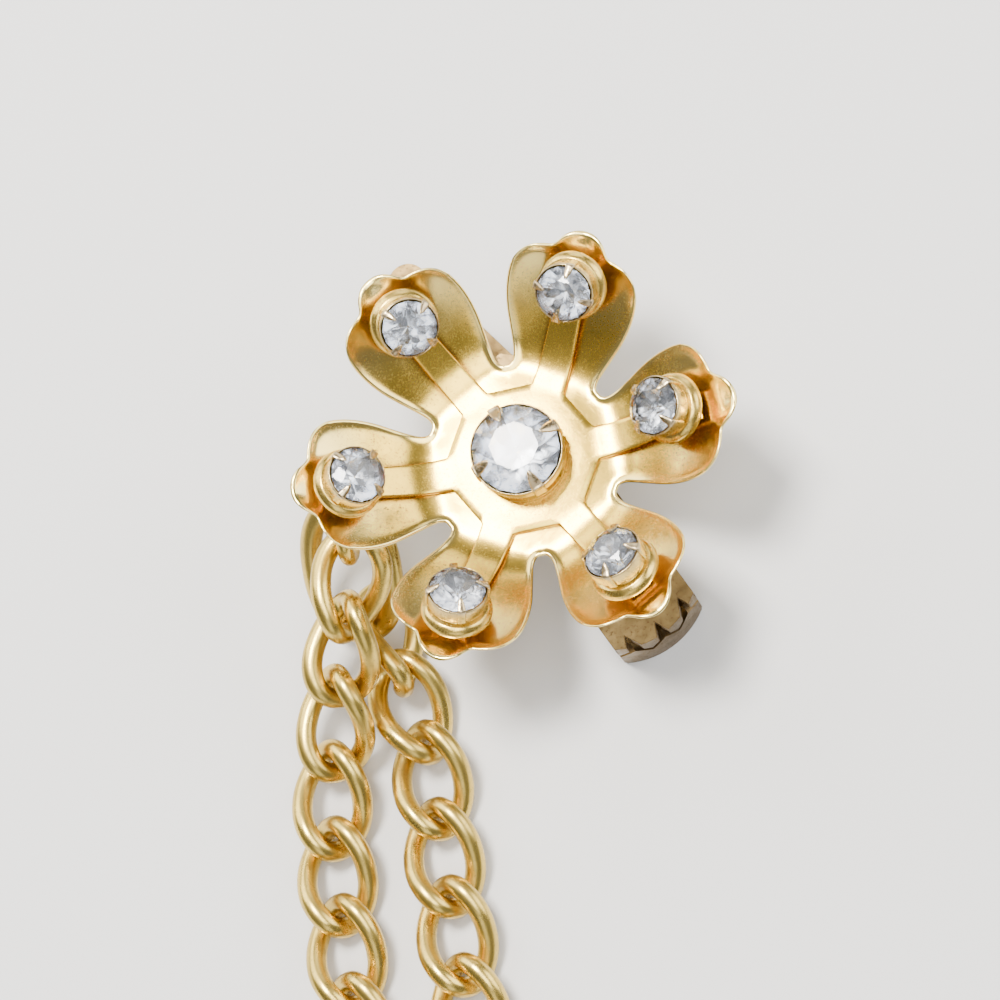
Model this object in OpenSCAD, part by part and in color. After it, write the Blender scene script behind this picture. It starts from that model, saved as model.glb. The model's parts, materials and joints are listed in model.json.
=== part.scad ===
/* [Flower] */
// Height of the flower's flat middle above the surface that the clip lies on
flower_height = 8; // [7.8:0.1:9]
// Turn of the first petal from the +X axis, in degrees
first_petal_turn = 11.5; // [0:0.5:20]
// Distance from the middle to the tip of a petal
petal_reach = 15.3; // [15:0.1:16]
// Half the width of a petal across its shoulders
petal_half_width = 4.6; // [4.4:0.05:4.8]
// Rise of a petal's tip above the flat middle
petal_rise = 5.45; // [5.2:0.05:5.7]
// Lift of a petal's rims above its middle line, which makes the dish
rim_lift = 0.85; // [0.6:0.05:1.1]
// Distance from the middle to the bottom of the slot between two petals
slot_reach = 6.8; // [6.5:0.1:7]
// Thickness of the stamped petal sheet
petal_sheet = 0.5; // [0.4:0.05:0.6]
// Columns of faces across one petal
petal_columns = 8; // [6:2:10]

/* [Star] */
// Distance from the middle to the straight edges between the star's arms
star_middle = 5; // [4.6:0.05:5.1]
// Half the width of a star arm at its root
arm_root = 1.15; // [1.1:0.05:1.4]
// Half the width of a star arm at its end
arm_end = 0.95; // [0.8:0.05:1.1]
// Gap between the end of an arm and the petal under it
arm_lift = 0.45; // [0.3:0.05:0.5]
// Thickness of the star's sheet
star_sheet = 0.45; // [0.4:0.05:0.5]

/* [Stones and settings] */
// Radius of a petal stone
petal_stone_r = 1.86; // [1.7:0.02:1.9]
// Radius of the middle stone
center_stone_r = 3; // [2.8:0.05:3.1]
// Distance from the middle to the foot of a petal stone's setting
setting_out = 11.65; // [11.5:0.05:11.8]
// Height of a petal stone's girdle above the foot of its setting
setting_rise = 2.35; // [2.3:0.05:2.6]
// Lean of a petal stone's setting towards the middle, in degrees
setting_lean = 31; // [28:0.5:33]
// Height of the middle stone's girdle above the star
center_rise = 2.8; // [2.7:0.05:3.2]
// Radius of the round foot of a petal stone's setting
petal_foot = 2.4; // [2.3:0.05:2.5]
// Radius of the foot of the middle stone's setting
center_foot = 3.1; // [3:0.05:3.2]

/* [Spring clip] */
// Turn of the clip from the +X axis to its toothed end, in degrees
clip_turn = -54; // [-56:0.5:-52]
// Sideways offset of the clip from the flower's middle
clip_shift = 0.7; // [0:0.1:1]
// Distance from the flower's middle to the toothed front
clip_front = 14.9; // [14.5:0.1:15.2]
// Distance from the flower's middle to the round end of the thumb lever
clip_tail = 19.1; // [18.5:0.1:19.5]
// Width of the clip
clip_width = 6.6; // [6.4:0.1:7]
// Thickness of the clip's sheet
clip_sheet = 0.6; // [0.5:0.05:0.6]
// Distance from the flower's middle back to the hinge pin
hinge_back = 5; // [4.5:0.1:5.5]
// Height of the hinge pin
hinge_height = 4; // [3.8:0.1:4.2]
// Radius of the hinge pin
pin_r = 0.55; // [0.5:0.05:0.6]

/* [Chain] */
// Thickness of the chain's wire
chain_wire = 1.5; // [1.4:0.05:1.5]
// Half the length of a link, to the middle of its wire
link_half_length = 3.52; // [3.5:0.01:3.6]
// Half the width of a link, to the middle of its wire
link_half_width = 2.1; // [2.05:0.05:2.2]
// Twist of each end of a link from its middle, in degrees
link_twist = 50; // [46:1:54]
// Thickness of the large ring's wire
ring_wire = 1.6; // [1.4:0.05:1.6]

/* [Hidden] */

$fn = 48;
petal_count = 6;
petal_step = 360 / petal_count;
// Small gap that separate pieces keep
gap = 0.06;

// One row for each section of a petal, from its root to its tip, as shares of
// petal_reach, petal_half_width, petal_rise and rim_lift
OUT = 0;
HALF = 1;
RISE = 2;
RIM = 3;
petal_sections = [
    [0.395, 0.69, 0, 0],
    [0.415, 0.67, 0.01, 0.02],
    [0.444, 0.68, 0.03, 0.06],
    [0.49, 0.74, 0.075, 0.14],
    [0.549, 0.825, 0.165, 0.29],
    [0.614, 0.92, 0.28, 0.49],
    [0.68, 0.98, 0.395, 0.71],
    [0.739, 1, 0.5, 0.88],
    [0.791, 0.98, 0.597, 1],
    [0.83, 0.92, 0.67, 1],
    [0.86, 0.83, 0.725, 0.94],
    [0.882, 0.715, 0.77, 0.82],
    [0.899, 0.57, 0.802, 0.6],
    [0.909, 0.44, 0.82, 0.42],
    [0.925, 0.38, 0.851, 0.35],
    [0.954, 0.31, 0.908, 0.3],
    [0.98, 0.21, 0.958, 0.22],
    [0.995, 0.11, 0.987, 0.1],
    [1, 0.03, 1, 0]
];
root_out = slot_reach * cos(petal_step / 2);
root_half = slot_reach * sin(petal_step / 2);
middle_line = concat(
    [[0, 0], [root_out / petal_reach, 0]],
    [for (s = petal_sections) [s[OUT], s[RISE]]]
);
// Height of a petal's middle line above the flat middle, at a distance out
function petal_mid(out) = petal_rise * lookup(out / petal_reach, middle_line);

// Turn of the prongs on each petal stone, from the line to the middle
prong_turns = [38, 88, 18, 44, 30, 48];
// Shift of each petal stone's setting from its usual place, out and sideways
setting_shifts = [[-0.65, 0.3], [0.1, -0.15], [0, 0], [0, 0.1], [0.1, 0.1], [-0.15, 0.1]];
center_prong_turn = 30;

// Shape of a stone, as shares of its radius
girdle_share = 0.04;
table_share = 0.56;
crown_share = 0.34;
back_share = 0.82;
// Height of a stone's girdle above the rim of its cup
stone_sit = 0.03;

star_base = flower_height + gap;
star_top = star_base + star_sheet;
arm_tip = setting_out + 0.9;
arm_stations = [3, 5, 6.2, 7.4, 8.8, 10.2, arm_tip];
// Along an arm: its gap above the dish, and its upright thickness as it slopes
arm_gap = [[5, gap], [6.2, 2 * gap], [arm_tip, arm_lift]];
arm_upright = [[5, star_sheet], [8.8, 1.15 * star_sheet]];
// Height above the petal of a setting that stands on an arm, at a distance out
function setting_stand(out) = lookup(out, arm_gap) + lookup(out, arm_upright) + 4 * gap;

plate_top = flower_height - petal_sheet - gap;
plate_under = plate_top - clip_sheet;
// Radius of the clip's rounded front, seen from above
front_r = 6;
tooth_pitch = 2.2;
tooth_height = 1.5;
mouth_height = 3.2;
mouth_gap = 0.6;
// Depth of the wedges cut between the teeth of the upper half, seen from above
notch_depth = 0.9;
notch_half = 1;
// Half the width of the clip's upper half, from its back to its front
plate_back = -hinge_back - 2.3;
plate_halves = [
    [plate_back, 2.3],
    [plate_back + 1, clip_width / 2],
    [-1, clip_width / 2],
    [2.5, 2.5],
    [8.5, 2.5],
    [11, clip_width / 2],
    [clip_front, clip_width / 2]
];
cheek_sheet = 0.5;
cheek_inner = clip_width / 2 - cheek_sheet;
ear_outer = cheek_inner - 0.12;
ear_r = 1.3;
pin_play = 0.05;

// Places of the links: middle x, y and z, the way the strand runs seen from
// above, the fall of the link towards its lower end, and its roll
left_links = [
    [-11.83, -8.37, 7.8, -101.5, 17, 27.8],
    [-12.58, -12.65, 6.02, -103.8, 25.9, -11.3],
    [-13.46, -17.41, 3.64, -96.5, 25.1, -8.3],
    [-13.9, -22.5, 2.1, -89, 7, -1],
    [-13.5, -27.7, 1.7, -84, 0, 0],
    [-12.7, -33, 1.7, -82, 0, 0],
    [-11.8, -38.3, 1.7, -80, 0, 0]
];
right_links = [
    [-9.85, -11.32, 2.68, -74.9, -2.6, 53.9],
    [-8.51, -16.11, 2.23, -67.6, 3.5, 15.8],
    [-7, -21.1, 1.9, -79, 3, 1],
    [-6.1, -26.4, 1.7, -79, 0, 0],
    [-5.1, -31.7, 1.7, -79, 0, 0],
    [-4, -36.95, 1.7, -77, 0, 0]
];
large_ring_place = [-12.36, -6.88, 4.98, -88, 39.3, -8.8];
ring_half_length = 4.9;
ring_half_width = 2.85;

hang_loop_place = [-12.11, -4.08, 8.32];
hang_loop_turn = -85.7;
// Ball of solder on top of the loop, and its rise above the wire's middle line
solder_r = 0.75;
solder_rise = 0.25;
loop_wire = 1.1;
loop_bend = 1.7;
loop_straight = 1.8;

gold = "goldenrod";
pale_gold = "darkgoldenrod";
brass = "tan";
crystal = "lightsteelblue";

// Rings of points at rows i and i + 1 are joined by two triangles a column
function strip(a, b, n) = [for (j = [0 : n - 1])
    let (k = (j + 1) % n)
    each [[a + j, a + k, b + k], [a + j, b + k, b + j]]
];

// Point on one face of a petal: row 0 is the root, column 0 to n cross the petal
function petal_point(row, column, n) =
    let (t = 2 * column / n - 1)
    row == 0
        ? [root_out, t * root_half, 0]
        : let (s = petal_sections[row - 1])
          [s[OUT] * petal_reach,
           t * s[HALF] * petal_half_width,
           s[RISE] * petal_rise + s[RIM] * rim_lift * t * t];

function turned(p, a) = [
    p[0] * cos(a) - p[1] * sin(a),
    p[0] * sin(a) + p[1] * cos(a),
    p[2]
];

// The stamped flower: a six-sided middle whose sides carry the six petals
module petals() {
    n = petal_columns;
    rows = len(petal_sections);
    around = petal_count * n;
    own = rows * (n + 1);
    // Points of one face: the middle, a ring half way out, the root ring, the petals
    face_points = concat(
        [[0, 0, 0]],
        [for (share = [0.5, 1], k = [0 : petal_count - 1], j = [0 : n - 1])
            turned(share * petal_point(0, j, n), k * petal_step)],
        [for (k = [0 : petal_count - 1], i = [1 : rows], j = [0 : n])
            turned(petal_point(i, j, n), k * petal_step)]
    );
    count = len(face_points);
    points = concat(face_points, [for (p = face_points) p - [0, 0, petal_sheet]]);
    root = 1 + around;
    // Index of the point in a petal's row and column
    function at(k, i, j) = i == 0
        ? root + (k * n + j) % around
        : root + around + k * own + (i - 1) * (n + 1) + j;
    upper = concat(
        [for (j = [0 : around - 1]) [0, 1 + (j + 1) % around, 1 + j]],
        [for (j = [0 : around - 1])
            let (k = (j + 1) % around)
            each [[1 + j, 1 + k, root + k], [1 + j, root + k, root + j]]],
        [for (k = [0 : petal_count - 1], i = [0 : rows - 1], j = [0 : n - 1])
            each [[at(k, i, j), at(k, i, j + 1), at(k, i + 1, j + 1)],
                  [at(k, i, j), at(k, i + 1, j + 1), at(k, i + 1, j)]]]
    );
    lower = [for (f = upper) [f[0] + count, f[2] + count, f[1] + count]];
    // The cut edge runs up one side of a petal, across its tip and down the other
    function edge(a, b) = [[a, b, b + count], [a, b + count, a + count]];
    walls = [for (k = [0 : petal_count - 1]) each concat(
        [for (i = [0 : rows - 1]) each edge(at(k, i, 0), at(k, i + 1, 0))],
        [for (j = [0 : n - 1]) each edge(at(k, rows, j), at(k, rows, j + 1))],
        [for (i = [0 : rows - 1]) each edge(at(k, i + 1, n), at(k, i, n))]
    )];
    color(gold)
        translate([0, 0, flower_height])
            rotate([0, 0, first_petal_turn])
                polyhedron(points, concat(upper, lower, walls), convexity = 8);
}

// The flat star whose six tapered arms run up the petals
module star() {
    half_step = petal_step / 2;
    corner = (star_middle - arm_root * sin(half_step)) / cos(half_step);
    outline = [for (k = [0 : petal_count - 1], side = [-1, 1])
        let (p = turned([corner, side * arm_root, 0], k * petal_step))
        [p[0], p[1]]];
    arm_under = [for (out = arm_stations) [out, petal_mid(out) + lookup(out, arm_gap)]];
    arm_upper = [for (i = [len(arm_stations) - 1 : -1 : 0])
        arm_under[i] + [0, lookup(arm_stations[i], arm_upright)]];
    color(gold)
        rotate([0, 0, first_petal_turn]) {
            translate([0, 0, star_base])
                linear_extrude(star_sheet)
                    polygon(outline);
            for (k = [0 : petal_count - 1])
                rotate([0, 0, k * petal_step])
                    intersection() {
                        translate([0, 0, flower_height])
                            rotate([90, 0, 0])
                                linear_extrude(4 * arm_root, center = true)
                                    polygon(concat(arm_under, arm_upper));
                        translate([0, 0, flower_height - 1])
                            linear_extrude(petal_rise + 2)
                                polygon([
                                    [0, -arm_root], [corner, -arm_root], [arm_tip, -arm_end],
                                    [arm_tip, arm_end], [corner, arm_root], [0, arm_root]
                                ]);
                    }
        }
}

// Height of a stone's crown above its girdle's middle, at a distance from its axis
function crown_at(out, r) =
    girdle_share * r + (crown_share - girdle_share) * (r - out) / (1 - table_share);

// A cup on a domed foot, with four prongs bent over the edge of its stone.
// Its foot stands at the origin and the rim of the cup lies at rise.
module setting(stone_r, rise, turn, foot) {
    inside = stone_r + gap;
    rim = stone_r + 0.18;
    foot_h = 0.38 * rise;
    bevel = 0.12;
    waist = 0.92 * stone_r;
    seat = rise - 0.9 * stone_r;
    below_girdle = girdle_share * stone_r + gap;
    prong_w = 0.3 * stone_r;
    prong_out = rim + 0.14;
    prong_sheet = 0.18;
    tip = 0.74 * stone_r;
    tip_under = rise + stone_sit + crown_at(tip, stone_r) + gap;
    edge_under = rise + stone_sit + crown_at(stone_r, stone_r) + gap;
    color(brass) {
        rotate_extrude()
            polygon([
                [0, 0], [foot - bevel, 0], [foot, bevel], [foot - 0.03, 0.4 * foot_h],
                [foot - bevel, 0.75 * foot_h], [(foot + waist) / 2, foot_h],
                [waist, foot_h + 0.05], [waist, 0.45 * rise],
                [rim - 0.06, 0.54 * rise], [rim, rise], [inside, rise],
                [inside, rise - below_girdle], [bevel, seat], [0, seat]
            ]);
        for (q = [0 : 3])
            rotate([0, 0, turn + 90 * q])
                rotate([90, 0, 0])
                    linear_extrude(prong_w, center = true)
                        polygon([
                            [rim - 0.08, 0.6 * rise], [prong_out, 0.6 * rise],
                            [prong_out, edge_under], [0.86 * stone_r, tip_under + prong_sheet],
                            [tip, tip_under + 0.06], [tip, tip_under],
                            [inside, edge_under], [inside, rise - 0.04], [rim - 0.08, rise - 0.04]
                        ]);
    }
}

// A round cut stone: a flat table, a faceted crown, a thin girdle and a pointed back
module stone(r) {
    mains = 8;
    sides = 2 * mains;
    turn = 360 / sides;
    points = concat(
        [for (k = [0 : mains - 1])
            r * [table_share * cos(2 * turn * k), table_share * sin(2 * turn * k), crown_share]],
        [for (z = [girdle_share, -girdle_share], k = [0 : sides - 1])
            r * [cos(turn * k), sin(turn * k), z]],
        [[0, 0, -back_share * r]]
    );
    upper = mains;
    lower = mains + sides;
    culet = mains + 2 * sides;
    faces = concat(
        [[for (k = [mains - 1 : -1 : 0]) k]],
        [for (k = [0 : mains - 1])
            let (next = (k + 1) % mains, g = 2 * k, before = (2 * k + sides - 1) % sides)
            each [[k, next, upper + g + 1],
                  [k, upper + g + 1, upper + g],
                  [k, upper + g, upper + before]]],
        [for (k = [0 : sides - 1])
            let (next = (k + 1) % sides)
            each [[upper + k, upper + next, lower + next],
                  [upper + k, lower + next, lower + k],
                  [lower + k, lower + next, culet]]]
    );
    color(crystal)
        polyhedron(points, faces, convexity = 2);
}

// Places what belongs to petal k at its setting's foot, leaning to the middle
module on_petal(k) {
    out = setting_out + setting_shifts[k - 1][0];
    side = setting_shifts[k - 1][1];
    rotate([0, 0, first_petal_turn + petal_step * (k - 1)])
        translate([out, side, flower_height + petal_mid(out) + setting_stand(out)])
            rotate([0, -setting_lean, 0])
                children();
}

module petal_setting(k) {
    on_petal(k)
        setting(petal_stone_r, setting_rise, prong_turns[k - 1], petal_foot);
}

module petal_stone(k) {
    on_petal(k)
        translate([0, 0, setting_rise + stone_sit])
            stone(petal_stone_r);
}

module center_setting() {
    translate([0, 0, star_top + gap])
        setting(center_stone_r, center_rise, center_prong_turn, center_foot);
}

module center_stone() {
    translate([0, 0, star_top + gap + center_rise + stone_sit])
        stone(center_stone_r);
}

// The clip lies along its own x axis, with its toothed front at +x
module along_clip() {
    rotate([0, 0, clip_turn])
        translate([0, clip_shift, 0])
            children();
}

// Side profile given as x and z, made as wide as asked across the clip
module across(width) {
    rotate([90, 0, 0])
        linear_extrude(width, center = true)
            children();
}

// Everything behind the rounded front, seen from above
module within_front() {
    intersection() {
        children();
        union() {
            translate([clip_front - front_r, 0, -1])
                cylinder(h = flower_height + 2, r = front_r, $fn = 96);
            translate([-clip_tail - 1, -clip_width, -1])
                cube([clip_tail + 1 + clip_front - front_r, 2 * clip_width, flower_height + 2]);
        }
    }
}

// Bent front wall of a jaw: the toothed edge is a zigzag across the clip
module toothed_wall(back, toothed) {
    half = clip_width / 2;
    steps = ceil(clip_width / (tooth_pitch / 2));
    edge = [for (i = [0 : steps])
        [-half + clip_width * i / steps, toothed + (i % 2 == 0 ? 0 : tooth_height)]];
    intersection() {
        difference() {
            translate([clip_front - front_r, 0, -1])
                cylinder(h = flower_height + 2, r = front_r, $fn = 96);
            translate([clip_front - front_r, 0, -2])
                cylinder(h = flower_height + 4, r = front_r - clip_sheet, $fn = 96);
        }
        translate([clip_front - front_r + 2, 0, 0])
            rotate([90, 0, 90])
                linear_extrude(front_r)
                    polygon(concat([[half, back], [-half, back]], edge));
    }
}

// Wedges between the teeth, which leave each tooth of the upper half standing alone
module tooth_notches() {
    steps = ceil(clip_width / (tooth_pitch / 2));
    for (i = [1 : 2 : steps - 1])
        let (side = -clip_width / 2 + clip_width * i / steps,
             front = clip_front - front_r + sqrt(front_r * front_r - side * side))
            translate([front, side, mouth_height])
                linear_extrude(flower_height)
                    polygon([[-notch_depth, 0], [1, -notch_half], [1, notch_half]]);
}

// Upright plate around the hinge pin, from a foot line to a round end
module hinge_plate(side, inner, foot, top_half, foot_half) {
    translate([-hinge_back, side * (inner + cheek_sheet / 2), 0])
        across(cheek_sheet) {
            translate([0, hinge_height])
                circle(r = ear_r);
            polygon([
                [-foot_half, foot], [foot_half, foot],
                [top_half, hinge_height], [-top_half, hinge_height]
            ]);
        }
}

// Upper half of the clip, under the flower, with its cheeks and teeth
module clip_plate() {
    slope_end = mouth_height + tooth_height + 0.8;
    outline = concat(plate_halves, [for (i = [len(plate_halves) - 1 : -1 : 0])
        [plate_halves[i][0], -plate_halves[i][1]]]);
    color(brass)
        along_clip()
            difference() {
                union() {
                    within_front()
                        intersection() {
                            across(clip_width)
                                polygon([
                                    [plate_back, plate_under], [clip_front - 5.6, plate_under],
                                    [clip_front, slope_end - clip_sheet], [clip_front, slope_end],
                                    [clip_front - 5.4, plate_top], [plate_back, plate_top]
                                ]);
                            linear_extrude(flower_height)
                                polygon(outline);
                        }
                    toothed_wall(slope_end - 0.2, mouth_height);
                    for (side = [-1, 1])
                        hinge_plate(side, cheek_inner, plate_under + 0.1, ear_r, ear_r + 0.2);
                }
                tooth_notches();
                translate([-hinge_back, 0, hinge_height])
                    rotate([90, 0, 0])
                        cylinder(h = 2 * clip_width, r = pin_r + pin_play, center = true);
            }
}

// Lower half of the clip: the moving jaw and its thumb lever in one piece
module clip_jaw() {
    belly_half = clip_width / 2 - 0.1;
    tail_r = 1.4;
    flange_back = -hinge_back + 4;
    color(brass)
        along_clip()
            difference() {
                union() {
                    within_front()
                        linear_extrude(clip_sheet) {
                            polygon([
                                [clip_front, belly_half], [-hinge_back - 2.5, belly_half],
                                [-clip_tail + tail_r, tail_r], [-clip_tail + tail_r, -tail_r],
                                [-hinge_back - 2.5, -belly_half], [clip_front, -belly_half]
                            ]);
                            translate([-clip_tail + tail_r, 0])
                                circle(r = tail_r);
                        }
                    toothed_wall(clip_sheet / 2, mouth_height - mouth_gap);
                    within_front()
                        for (side = [-1, 1])
                            translate([0, side * (belly_half - cheek_sheet / 2), 0])
                                across(cheek_sheet)
                                    polygon([
                                        [flange_back, clip_sheet / 2], [clip_front, clip_sheet / 2],
                                        [clip_front, 2.4], [flange_back + 3, 1.8],
                                        [flange_back, clip_sheet]
                                    ]);
                    for (side = [-1, 1])
                        hinge_plate(side, ear_outer - cheek_sheet, clip_sheet / 2,
                                    ear_r, ear_r + 1.2);
                }
                translate([-hinge_back, 0, hinge_height])
                    rotate([90, 0, 0])
                        cylinder(h = 2 * clip_width, r = pin_r + pin_play, center = true);
            }
}

// Pin with a flat head on each side, which both halves turn on
module hinge_pin() {
    head = 0.3;
    color(brass)
        along_clip()
            translate([-hinge_back, 0, hinge_height])
                rotate([90, 0, 0]) {
                    cylinder(h = clip_width + 2 * gap + 2 * head, r = pin_r, center = true);
                    for (side = [-1, 1])
                        translate([0, 0, side * (clip_width / 2 + gap + head / 2)])
                            cylinder(h = head, r = pin_r + 0.35, center = true);
                }
}

// Coiled spring on the pin, with a leg against the plate and one on the jaw
module clip_spring() {
    wire_r = 0.26;
    coil_r = pin_r + 0.1 + wire_r;
    turns = 5;
    pitch = 0.44;
    first = -pitch * (turns - 1) / 2;
    color("silver")
        along_clip()
            translate([-hinge_back, 0, hinge_height]) {
                rotate([90, 0, 0])
                    rotate_extrude()
                        for (i = [0 : turns - 1])
                            translate([coil_r, first + pitch * i])
                                circle(r = wire_r, $fn = 24);
                spring_leg(plate_under - hinge_height - wire_r - gap, first, coil_r, wire_r);
                mirror([0, 0, 1])
                    spring_leg(hinge_height - clip_sheet - wire_r - gap, -first, coil_r, wire_r);
            }
}

// Straight leg from the top of the coil back to a height of reach
module spring_leg(reach, sideways, coil_r, wire_r) {
    leg_out = 2.1;
    translate([0, sideways, coil_r])
        rotate([0, atan2(reach - coil_r, leg_out) - 90, 0])
            cylinder(h = norm([reach - coil_r, leg_out]), r = wire_r, $fn = 24);
}

// Place on the centre line of a link at t degrees round: a broad oval, each
// end of which is turned about the long axis
function link_line(t, half_length, half_width, twist) =
    let (round_off = 0.85,
         u = half_length * sign(cos(t)) * pow(abs(cos(t)), round_off),
         v = half_width * sign(sin(t)) * pow(abs(sin(t)), round_off),
         a = twist * u / half_length)
    [v * cos(a), u, v * sin(a)];

// Place on the centre line of the loop: two straight stretches with round ends
function loop_line(t) =
    [loop_bend * sin(t), loop_bend * cos(t) + loop_straight / 2 * sign(cos(t)), 0];

// Angles round a closed line, halfway between equal steps
function around(stations) = [for (i = [0 : stations - 1]) (i + 0.5) * 360 / stations];

// Closed wire swept along a line of points, with flat sides around it
module swept_wire(line, wire, sides) {
    n = len(line);
    wire_r = wire / 2;
    points = [for (i = [0 : n - 1])
        let (p = line[i],
             along = line[(i + 1) % n] - line[(i + n - 1) % n],
             forward = along / norm(along),
             out = [p[0], p[1], 0] / norm([p[0], p[1]]),
             up = cross(out, forward) / norm(cross(out, forward)),
             side = cross(forward, up))
        for (j = [0 : sides - 1])
            p + wire_r * (cos(360 * j / sides) * side + sin(360 * j / sides) * up)
    ];
    faces = [for (i = [0 : n - 1]) each strip(i * sides, ((i + 1) % n) * sides, sides)];
    polyhedron(points, faces, convexity = 6);
}

// Soldered loop under the left petal that the ring and the first link hang on
module hang_loop() {
    color(pale_gold)
        translate(hang_loop_place)
            rotate([0, 0, hang_loop_turn])
                rotate([90, 0, 0]) {
                    rotate([0, 0, -90])
                        swept_wire([for (t = around(24)) loop_line(t)], loop_wire, 8);
                    translate([0, loop_bend + solder_rise, 0])
                        sphere(r = solder_r, $fn = 12);
                }
}

// Lays a link in its place: x, y, z, heading, fall and roll
module lay(place) {
    translate([place[0], place[1], place[2]])
        rotate([0, 0, place[3] + 90])
            rotate([place[4], 0, 0])
                rotate([0, place[5], 0])
                    children();
}

module chain_link(place) {
    color(pale_gold)
        lay(place)
            swept_wire([for (t = around(24))
                link_line(t, link_half_length, link_half_width, link_twist)], chain_wire, 6);
}

module large_ring() {
    color(pale_gold)
        lay(large_ring_place)
            swept_wire([for (t = around(24))
                link_line(t, ring_half_length, ring_half_width, 0)], ring_wire, 8);
}

module left_link(k) {
    chain_link(left_links[k - 1]);
}

module right_link(k) {
    chain_link(right_links[k - 1]);
}

petals();
star();
center_setting();
center_stone();
petal_setting(1);  // petal_setting_1
petal_setting(2);  // petal_setting_2
petal_setting(3);  // petal_setting_3
petal_setting(4);  // petal_setting_4
petal_setting(5);  // petal_setting_5
petal_setting(6);  // petal_setting_6
petal_stone(1);  // petal_stone_1
petal_stone(2);  // petal_stone_2
petal_stone(3);  // petal_stone_3
petal_stone(4);  // petal_stone_4
petal_stone(5);  // petal_stone_5
petal_stone(6);  // petal_stone_6
clip_plate();
clip_jaw();
hinge_pin();
clip_spring();
hang_loop();
large_ring();
left_link(1);  // left_link_1
left_link(2);  // left_link_2
left_link(3);  // left_link_3
left_link(4);  // left_link_4
left_link(5);  // left_link_5
left_link(6);  // left_link_6
left_link(7);  // left_link_7
right_link(1);  // right_link_1
right_link(2);  // right_link_2
right_link(3);  // right_link_3
right_link(4);  // right_link_4
right_link(5);  // right_link_5
right_link(6);  // right_link_6
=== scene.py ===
# %% [markdown]
# # A flower sweater clip with its chain
# The real thing is costume jewellery: a flower stamped from thin brass, a star
# soldered on it, seven cut glass stones in cups, a toothed spring clip behind,
# and two strands of chain. Its solids are already packed at their real size, so
# this lesson dresses them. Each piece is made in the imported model's own frame,
# and so it lands in its place with no fitting.

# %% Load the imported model
import json
import math
import bmesh
import bpy
import numpy as np
from mathutils import Matrix, Vector, noise


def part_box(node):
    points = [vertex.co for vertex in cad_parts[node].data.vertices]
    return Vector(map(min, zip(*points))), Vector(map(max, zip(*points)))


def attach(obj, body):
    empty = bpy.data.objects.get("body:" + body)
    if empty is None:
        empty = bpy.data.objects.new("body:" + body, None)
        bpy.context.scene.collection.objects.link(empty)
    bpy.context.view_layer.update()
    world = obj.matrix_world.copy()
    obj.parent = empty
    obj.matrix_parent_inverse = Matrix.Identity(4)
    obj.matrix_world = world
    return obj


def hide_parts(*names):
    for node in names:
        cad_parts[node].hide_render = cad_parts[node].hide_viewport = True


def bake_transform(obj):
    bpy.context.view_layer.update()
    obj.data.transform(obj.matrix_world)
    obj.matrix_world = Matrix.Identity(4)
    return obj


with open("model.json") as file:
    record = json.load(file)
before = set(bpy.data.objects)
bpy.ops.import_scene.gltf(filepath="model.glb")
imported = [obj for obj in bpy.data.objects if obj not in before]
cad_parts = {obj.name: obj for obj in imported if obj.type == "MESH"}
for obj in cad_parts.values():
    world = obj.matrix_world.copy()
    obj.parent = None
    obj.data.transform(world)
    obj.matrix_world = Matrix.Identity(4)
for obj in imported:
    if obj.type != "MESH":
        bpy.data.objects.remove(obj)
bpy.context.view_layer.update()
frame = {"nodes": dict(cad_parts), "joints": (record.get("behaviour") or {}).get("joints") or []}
MM = 0.001

# %% [markdown]
# ## Camera
# The photograph looks down on the flower from about 15 degrees off the upright.
# A camera that hangs straight above it and is then tilted about one level axis
# gives that view with no roll of its own. The lens is worked out from how many
# millimetres the frame takes in at the flower, and a small shift puts the
# middle of the flower a little above and to the right of the frame's middle.

# %% Place the camera
PACKED_SHEET = 0.5 * MM
FLOWER_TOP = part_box("petals")[0].z + PACKED_SHEET
FRAME_WIDTH = 68 * MM
CAMERA_DISTANCE = 235.8 * MM
CAMERA_TILT = 15.36
TILT_AXIS_TURN = 126.4
FLOWER_IN_FRAME = (0.5238, 0.5403)

tilt_turn = math.radians(TILT_AXIS_TURN)
tilt_axis = Vector((-math.sin(tilt_turn), math.cos(tilt_turn), 0))
camera_turn = Matrix.Rotation(math.radians(-CAMERA_TILT), 4, tilt_axis)
pivot = Vector((0, 0, FLOWER_TOP))
camera_data = bpy.data.cameras.new("camera")
camera_data.lens = camera_data.sensor_width * CAMERA_DISTANCE / FRAME_WIDTH
camera_data.shift_x = 0.5 - FLOWER_IN_FRAME[0]
camera_data.shift_y = 0.5 - FLOWER_IN_FRAME[1]
camera_data.clip_start = 10 * MM
camera = bpy.data.objects.new("camera", camera_data)
back = camera_turn @ Vector((0, 0, 1))
camera.matrix_world = Matrix.Translation(pivot + back * CAMERA_DISTANCE) @ camera_turn
bpy.context.scene.collection.objects.link(camera)
bpy.context.scene.camera = camera
print("camera looks from", tuple(round(c, 3) for c in back))

# %% [markdown]
# ## Floor and light
# Gold shows what it reflects, so the light matters as much as the colour. The
# main lamp stands close to where the flat middle of the flower mirrors it to the
# camera, which burns the middle out nearly white and sends the shadows down to
# the right. Four soft panels stand low round the flower, where the floors of the
# petals mirror them. The near one is weak, and so the far petals stay dark. The
# last panel hangs beyond the camera, because cut stones send back the light that
# comes from the side they are looked at.

# %% Lay the floor
def feed(tree, socket, value):
    """Gives an input a number, a colour or another node's output."""
    if isinstance(value, bpy.types.NodeSocket):
        tree.links.new(value, socket)
    else:
        socket.default_value = (*value, 1) if isinstance(value, tuple) else value


def set_inputs(tree, made, values):
    """Feeds a node's inputs, which are named with _ for a space."""
    for label, value in values.items():
        feed(tree, made.inputs[label.replace("_", " ")], value)
    return made


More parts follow.
